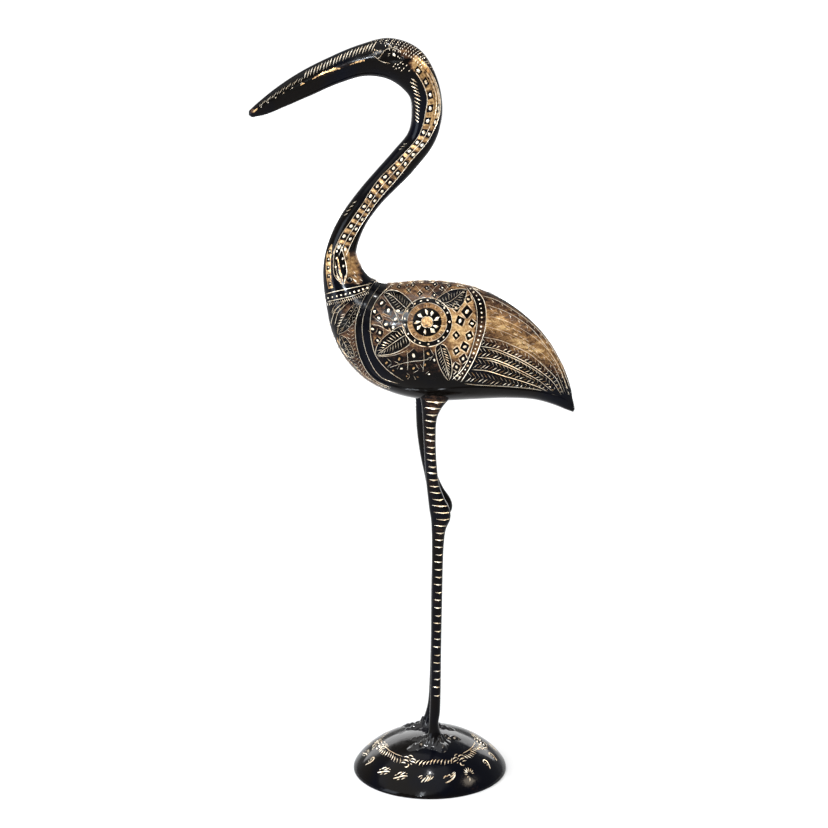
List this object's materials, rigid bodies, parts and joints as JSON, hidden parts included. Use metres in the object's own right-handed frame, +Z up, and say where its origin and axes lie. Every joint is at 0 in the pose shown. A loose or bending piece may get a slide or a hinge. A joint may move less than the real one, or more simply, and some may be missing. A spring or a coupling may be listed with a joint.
{
  "type": "engraved brass crane statue",
  "caption": "Standing long-billed crane with a curved neck and folded wings, cast in brass, engraved and lacquered black, on a low round domed base.",
  "frame": {"origin": "on the surface that the base stands on, midway between the tips of the bill and the tail, in the bird's middle plane", "axes": "+Z up, -X the way the bird looks, +Y towards its right side"},
  "size_m": [0.2597, 0.128, 0.61],
  "materials": {
    "lacquered_brass": "glossy black lacquer over cast brass, cut through to bright brass by hand engraving"
  },
  "bodies": {
    "root": {"crane": "lacquered_brass", "base": "lacquered_brass"}
  },
  "joints": []
}
